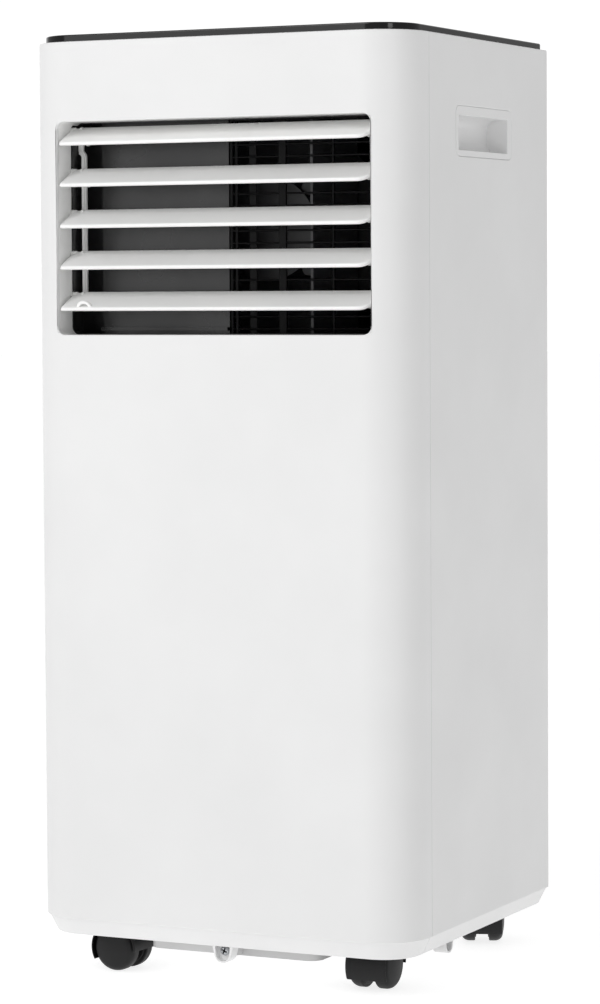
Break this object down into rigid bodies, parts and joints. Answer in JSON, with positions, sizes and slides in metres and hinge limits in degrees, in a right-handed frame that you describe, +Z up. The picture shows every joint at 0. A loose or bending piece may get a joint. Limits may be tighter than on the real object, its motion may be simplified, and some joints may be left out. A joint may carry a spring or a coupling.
{
  "type": "portable air conditioner",
  "caption": "Upright white portable air conditioner on swivel castors, with a front louvre, black control panel on top, side grips and a rear exhaust collar.",
  "frame": {"origin": "on the floor, under the middle of the casing", "axes": "+Z up, the front with the louvre faces -Y, +X is on the right seen from the front"},
  "size_m": [0.311, 0.28, 0.7],
  "materials": {
    "casing_white": "fine satin moulding",
    "louvre_white": "satin moulding",
    "panel_black": "polished",
    "window_smoked": "smoked, polished",
    "key_black": "polished",
    "inner_grey": "satin moulding",
    "duct_black": "satin moulding",
    "fins": "mill finish",
    "copper": "drawn copper",
    "motor_steel": "zinc plated",
    "black_enamel": "black enamel",
    "rubber_black": "matt",
    "board_green": "solder mask",
    "galvanised": "galvanised sheet",
    "castor_black": "nylon moulding"
  },
  "bodies": {
    "cabinet": {"front_casing": "casing_white", "rear_casing": "casing_white", "top_frame": "inner_grey", "top_panel": "panel_black", "display_window": "window_smoked", "control_board": "board_green", "base_pan": "inner_grey", "louvre_frame": "louvre_white", "air_duct": "duct_black", "outlet_guard": "duct_black", "drip_deck": "inner_grey", "evaporator_coil": "fins", "evaporator_tubes": "copper", "condenser_coil": "fins", "condenser_tubes": "copper", "top_scroll": "inner_grey", "top_fan_motor": "motor_steel", "low_scroll": "inner_grey", "low_fan_motor": "motor_steel", "compressor_shell": "black_enamel", "compressor_cap": "black_enamel", "compressor_grommets": "rubber_black", "accumulator": "black_enamel", "refrigerant_pipes": "copper", "control_box": "galvanised", "capacitor": "fins", "handle_left": "casing_white", "handle_right": "casing_white", "exhaust_collar": "casing_white", "cord_gland": "rubber_black", "casing_screws": "motor_steel"},
    "key_power": {"key_power": "key_black"},
    "key_mode": {"key_mode": "key_black"},
    "key_speed": {"key_speed": "key_black"},
    "key_down": {"key_down": "key_black"},
    "key_up": {"key_up": "key_black"},
    "louvre_1": {"louvre_1": "louvre_white"},
    "louvre_2": {"louvre_2": "louvre_white"},
    "louvre_3": {"louvre_3": "louvre_white"},
    "louvre_4": {"louvre_4": "louvre_white"},
    "louvre_5": {"louvre_5": "louvre_white"},
    "link_rod": {"link_rod": "louvre_white"},
    "top_fan_wheel": {"top_fan_wheel": "duct_black"},
    "low_fan_wheel": {"low_fan_wheel": "duct_black"},
    "upper_filter": {"upper_filter": "casing_white"},
    "lower_filter": {"lower_filter": "casing_white"},
    "upper_drain_plug": {"upper_drain_plug": "rubber_black"},
    "lower_drain_plug": {"lower_drain_plug": "rubber_black"},
    "castor_fl": {"castor_fl": "castor_black"},
    "castor_fr": {"castor_fr": "castor_black"},
    "castor_rl": {"castor_rl": "castor_black"},
    "castor_rr": {"castor_rr": "castor_black"},
    "wheel_fl_a": {"wheel_fl_a": "castor_black"},
    "wheel_fl_b": {"wheel_fl_b": "castor_black"},
    "wheel_fr_a": {"wheel_fr_a": "castor_black"},
    "wheel_fr_b": {"wheel_fr_b": "castor_black"},
    "wheel_rl_a": {"wheel_rl_a": "castor_black"},
    "wheel_rl_b": {"wheel_rl_b": "castor_black"},
    "wheel_rr_a": {"wheel_rr_a": "castor_black"},
    "wheel_rr_b": {"wheel_rr_b": "castor_black"}
  },
  "joints": [
    {"name": "key_power_press", "type": "slide", "parent": "cabinet", "child": "key_power", "axis": [0, 0, -1], "range_m": [0, 0.0008], "stiffness_N_per_m": 400, "springref_m": -0.0005},
    {"name": "key_mode_press", "type": "slide", "parent": "cabinet", "child": "key_mode", "axis": [0, 0, -1], "range_m": [0, 0.0008], "stiffness_N_per_m": 400, "springref_m": -0.0005},
    {"name": "key_speed_press", "type": "slide", "parent": "cabinet", "child": "key_speed", "axis": [0, 0, -1], "range_m": [0, 0.0008], "stiffness_N_per_m": 400, "springref_m": -0.0005},
    {"name": "key_down_press", "type": "slide", "parent": "cabinet", "child": "key_down", "axis": [0, 0, -1], "range_m": [0, 0.0008], "stiffness_N_per_m": 400, "springref_m": -0.0005},
    {"name": "key_up_press", "type": "slide", "parent": "cabinet", "child": "key_up", "axis": [0, 0, -1], "range_m": [0, 0.0008], "stiffness_N_per_m": 400, "springref_m": -0.0005},
    {"name": "louvre_1_turn", "type": "hinge", "parent": "cabinet", "child": "louvre_1", "pos_m": [0, -0.115, 0.6295], "axis": [1, 0, 0], "range_deg": [-30, 52]},
    {"name": "louvre_2_turn", "type": "hinge", "parent": "cabinet", "child": "louvre_2", "pos_m": [0, -0.115, 0.599], "axis": [1, 0, 0], "range_deg": [-30, 52]},
    {"name": "louvre_3_turn", "type": "hinge", "parent": "cabinet", "child": "louvre_3", "pos_m": [0, -0.115, 0.5685], "axis": [1, 0, 0], "range_deg": [-30, 52]},
    {"name": "louvre_4_turn", "type": "hinge", "parent": "cabinet", "child": "louvre_4", "pos_m": [0, -0.115, 0.538], "axis": [1, 0, 0], "range_deg": [-30, 52]},
    {"name": "louvre_5_turn", "type": "hinge", "parent": "cabinet", "child": "louvre_5", "pos_m": [0, -0.115, 0.5075], "axis": [1, 0, 0], "range_deg": [-30, 52]},
    {"name": "link_rod_turn", "type": "hinge", "parent": "louvre_1", "child": "link_rod", "pos_m": [-0.1222, -0.106, 0.6215], "axis": [1, 0, 0], "range_deg": [-52, 30]},
    {"name": "top_fan_spin", "type": "hinge", "parent": "cabinet", "child": "top_fan_wheel", "pos_m": [0.01, 0, 0.556], "axis": [0, 1, 0], "continuous": true},
    {"name": "low_fan_spin", "type": "hinge", "parent": "cabinet", "child": "low_fan_wheel", "pos_m": [0.03, 0.04, 0.18], "axis": [0, 1, 0], "continuous": true},
    {"name": "upper_filter_pull", "type": "slide", "parent": "cabinet", "child": "upper_filter", "axis": [0, 1, 0], "range_m": [0, 0.06]},
    {"name": "lower_filter_pull", "type": "slide", "parent": "cabinet", "child": "lower_filter", "axis": [0, 1, 0], "range_m": [0, 0.06]},
    {"name": "upper_drain_plug_pull", "type": "slide", "parent": "cabinet", "child": "upper_drain_plug", "axis": [0, 1, 0], "range_m": [0, 0.03]},
    {"name": "lower_drain_plug_pull", "type": "slide", "parent": "cabinet", "child": "lower_drain_plug", "axis": [0, 1, 0], "range_m": [0, 0.03]},
    {"name": "castor_fl_swivel", "type": "hinge", "parent": "cabinet", "child": "castor_fl", "pos_m": [-0.109, -0.096, 0.04], "axis": [0, 0, 1], "continuous": true},
    {"name": "castor_fr_swivel", "type": "hinge", "parent": "cabinet", "child": "castor_fr", "pos_m": [0.1045, -0.096, 0.04], "axis": [0, 0, 1], "continuous": true},
    {"name": "castor_rl_swivel", "type": "hinge", "parent": "cabinet", "child": "castor_rl", "pos_m": [-0.109, 0.105, 0.04], "axis": [0, 0, 1], "continuous": true},
    {"name": "castor_rr_swivel", "type": "hinge", "parent": "cabinet", "child": "castor_rr", "pos_m": [0.109, 0.105, 0.04], "axis": [0, 0, 1], "continuous": true},
    {"name": "wheel_fl_a_roll", "type": "hinge", "parent": "castor_fl", "child": "wheel_fl_a", "pos_m": [-0.09904, -0.09687, 0.0175], "axis": [-0.0872, -0.9962, 0], "continuous": true},
    {"name": "wheel_fl_b_roll", "type": "hinge", "parent": "castor_fl", "child": "wheel_fl_b", "pos_m": [-0.09904, -0.09687, 0.0175], "axis": [-0.0872, -0.9962, 0], "continuous": true},
    {"name": "wheel_fr_a_roll", "type": "hinge", "parent": "castor_fr", "child": "wheel_fr_a", "pos_m": [0.1045, -0.086, 0.0175], "axis": [1, 0, 0], "continuous": true},
    {"name": "wheel_fr_b_roll", "type": "hinge", "parent": "castor_fr", "child": "wheel_fr_b", "pos_m": [0.1045, -0.086, 0.0175], "axis": [1, 0, 0], "continuous": true},
    {"name": "wheel_rl_a_roll", "type": "hinge", "parent": "castor_rl", "child": "wheel_rl_a", "pos_m": [-0.10257, 0.11266, 0.0175], "axis": [0.766, -0.6428, 0], "continuous": true},
    {"name": "wheel_rl_b_roll", "type": "hinge", "parent": "castor_rl", "child": "wheel_rl_b", "pos_m": [-0.10257, 0.11266, 0.0175], "axis": [0.766, -0.6428, 0], "continuous": true},
    {"name": "wheel_rr_a_roll", "type": "hinge", "parent": "castor_rr", "child": "wheel_rr_a", "pos_m": [0.10525, 0.11427, 0.0175], "axis": [0.9272, 0.3746, 0], "continuous": true},
    {"name": "wheel_rr_b_roll", "type": "hinge", "parent": "castor_rr", "child": "wheel_rr_b", "pos_m": [0.10525, 0.11427, 0.0175], "axis": [0.9272, 0.3746, 0], "continuous": true}
  ],
  "couplings": [
    {"joint": "louvre_2_turn", "follows": "louvre_1_turn", "ratio": 1},
    {"joint": "louvre_3_turn", "follows": "louvre_1_turn", "ratio": 1},
    {"joint": "louvre_4_turn", "follows": "louvre_1_turn", "ratio": 1},
    {"joint": "louvre_5_turn", "follows": "louvre_1_turn", "ratio": 1},
    {"joint": "link_rod_turn", "follows": "louvre_1_turn", "ratio": -1}
  ]
}
